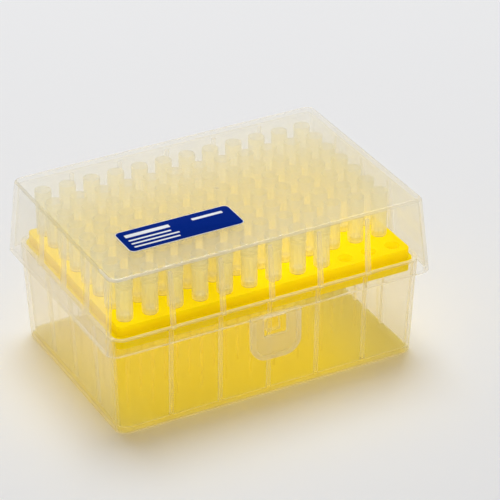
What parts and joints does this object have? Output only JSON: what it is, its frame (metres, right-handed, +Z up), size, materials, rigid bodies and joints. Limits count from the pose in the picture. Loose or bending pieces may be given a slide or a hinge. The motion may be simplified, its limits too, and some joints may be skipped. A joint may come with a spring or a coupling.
{
  "type": "pipette tip box",
  "caption": "Hinged box of filter pipette tips standing in a coloured rack under a tall clear lid with a front latch.",
  "frame": {"origin": "centre of the tub's flat underside", "axes": "+X along the box, to the right seen from the latch; +Y from the front latch to the back hinge; +Z up"},
  "size_m": [0.1198, 0.0888, 0.06],
  "materials": {
    "tub_plastic": "natural translucent polypropylene, satin",
    "lid_plastic": "clear polypropylene, glossy",
    "rack_plastic": "yellow polypropylene, satin",
    "tip_plastic": "natural translucent polypropylene",
    "filter_plastic": "white porous polyethylene",
    "label_print": "printed film label"
  },
  "bodies": {
    "base": {"base_box": "tub_plastic", "tip_rack": "rack_plastic", "rack_skirt": "rack_plastic", "tips_row_a": "tip_plastic", "tips_row_b": "tip_plastic", "tips_row_c": "tip_plastic", "tips_row_d": "tip_plastic", "tips_row_e": "tip_plastic", "tips_row_f": "tip_plastic", "tips_row_g": "tip_plastic", "tips_row_h": "tip_plastic", "filters_row_a": "filter_plastic", "filters_row_b": "filter_plastic", "filters_row_c": "filter_plastic", "filters_row_d": "filter_plastic", "filters_row_e": "filter_plastic", "filters_row_f": "filter_plastic", "filters_row_g": "filter_plastic", "filters_row_h": "filter_plastic"},
    "lid": {"lid": "lid_plastic", "lid_label": "label_print"}
  },
  "joints": [
    {"name": "lid_hinge", "type": "hinge", "parent": "base", "child": "lid", "pos_m": [0, 0.0423, 0.0292], "axis": [-1, 0, 0], "range_deg": [0, 110]}
  ]
}
